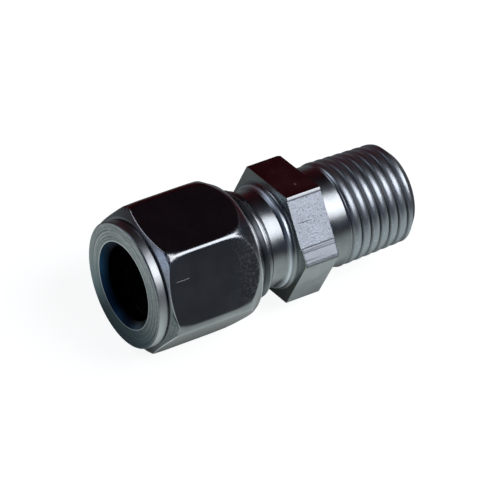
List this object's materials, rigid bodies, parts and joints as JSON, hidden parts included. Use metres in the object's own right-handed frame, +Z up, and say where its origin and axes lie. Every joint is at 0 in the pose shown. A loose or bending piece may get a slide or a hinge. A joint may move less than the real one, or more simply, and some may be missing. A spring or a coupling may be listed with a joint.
{
  "type": "twin-ferrule compression tube fitting, straight male connector",
  "caption": "Straight steel fitting that joins a tube to a tapered pipe thread, with a hex body, a hex nut and ferrules that grip the tube.",
  "frame": {"origin": "on the axis, at the shoulder inside the body where the end of the tube stops", "axes": "+X along the axis from the nut to the pipe thread, +Z up, square to a flat of the nut"},
  "size_m": [0.0399, 0.0198, 0.0174],
  "materials": {
    "body_steel": "turned and lightly polished stainless steel, with a milled band on one flat",
    "nut_steel": "satin stainless steel with turned end faces",
    "ferrule_steel": "bright turned stainless steel"
  },
  "bodies": {
    "body": {"body": "body_steel"},
    "ferrules": {"front_ferrule": "ferrule_steel", "back_ferrule": "ferrule_steel"},
    "nut": {"nut": "nut_steel"}
  },
  "joints": [
    {"name": "nut_travel", "type": "slide", "parent": "body", "child": "ferrules", "axis": [-1, 0, 0], "range_m": [0, 0.00826]},
    {"name": "nut_turn", "type": "hinge", "parent": "ferrules", "child": "nut", "pos_m": [-0.009, 0, 0], "axis": [-1, 0, 0], "range_deg": [0, 2340]}
  ],
  "couplings": [
    {"joint": "nut_travel", "follows": "nut_turn", "m_per_rad": 0.00020213}
  ]
}
